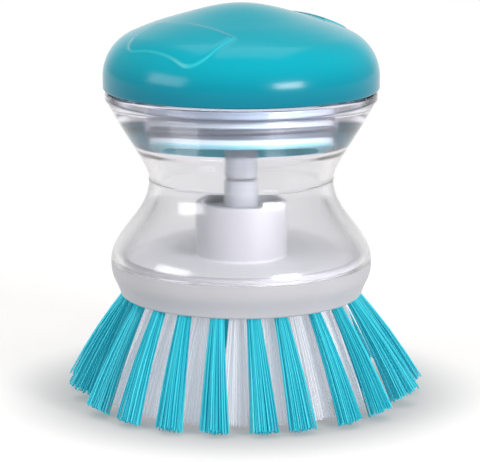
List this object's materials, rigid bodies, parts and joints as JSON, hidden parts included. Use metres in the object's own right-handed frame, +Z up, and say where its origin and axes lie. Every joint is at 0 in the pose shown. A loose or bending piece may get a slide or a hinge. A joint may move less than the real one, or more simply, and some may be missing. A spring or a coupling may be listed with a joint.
{
  "type": "soap-dispensing palm brush",
  "caption": "Palm brush with a clear hourglass soap reservoir, a soft domed push-button cap and splayed teal and white bristles.",
  "frame": {"origin": "centre of the circle on which the bristle tips stand, on the table", "axes": "+Z up along the brush's axis, front towards -Y"},
  "size_m": [0.0854, 0.0854, 0.0937],
  "materials": {
    "clear_plastic": "polished clear",
    "white_plastic": "satin",
    "smoke_plastic": "translucent grey",
    "teal_skin": "satin soft-touch",
    "teal_plastic": "satin",
    "teal_bristle": "drawn nylon",
    "white_bristle": "translucent drawn nylon",
    "silicone": "matte",
    "spring_steel": "drawn wire"
  },
  "bodies": {
    "reservoir": {"body_shell": "clear_plastic", "brush_plate": "white_plastic", "plate_seal": "silicone", "outlet_seat": "silicone", "spring_washer": "spring_steel", "return_spring": "spring_steel", "teal_tufts": "teal_bristle", "white_tufts_outer": "white_bristle", "white_tufts_middle": "white_bristle", "white_tufts_inner": "white_bristle"},
    "cap_lift": {"cap_gasket": "silicone"},
    "cap": {"cap_skin": "teal_skin", "cap_frame": "teal_plastic", "cap_collar": "clear_plastic"},
    "button": {"button_dome": "teal_skin", "button_plate": "white_plastic", "push_rod": "smoke_plastic"},
    "valve": {"valve_plunger": "smoke_plastic", "valve_poppet": "silicone", "poppet_clip": "white_plastic"}
  },
  "joints": [
    {"name": "cap_rise", "type": "slide", "parent": "reservoir", "child": "cap_lift", "axis": [0, 0, 1], "range_m": [0, 0.0038]},
    {"name": "cap_turn", "type": "hinge", "parent": "cap_lift", "child": "cap", "pos_m": [0, 0, 0.073], "axis": [0, 0, 1], "range_deg": [0, 450]},
    {"name": "button_press", "type": "slide", "parent": "cap", "child": "button", "axis": [0, 0, -1], "range_m": [0, 0.0035], "stiffness_N_per_m": 400, "springref_m": -0.002},
    {"name": "valve_open", "type": "slide", "parent": "reservoir", "child": "valve", "axis": [0, 0, -1], "range_m": [0, 0.0035], "deforming": ["return_spring"]}
  ],
  "couplings": [
    {"joint": "cap_rise", "follows": "cap_turn", "m_per_rad": 0.00047746},
    {"joint": "valve_open", "follows": "button_press", "ratio": 1}
  ]
}
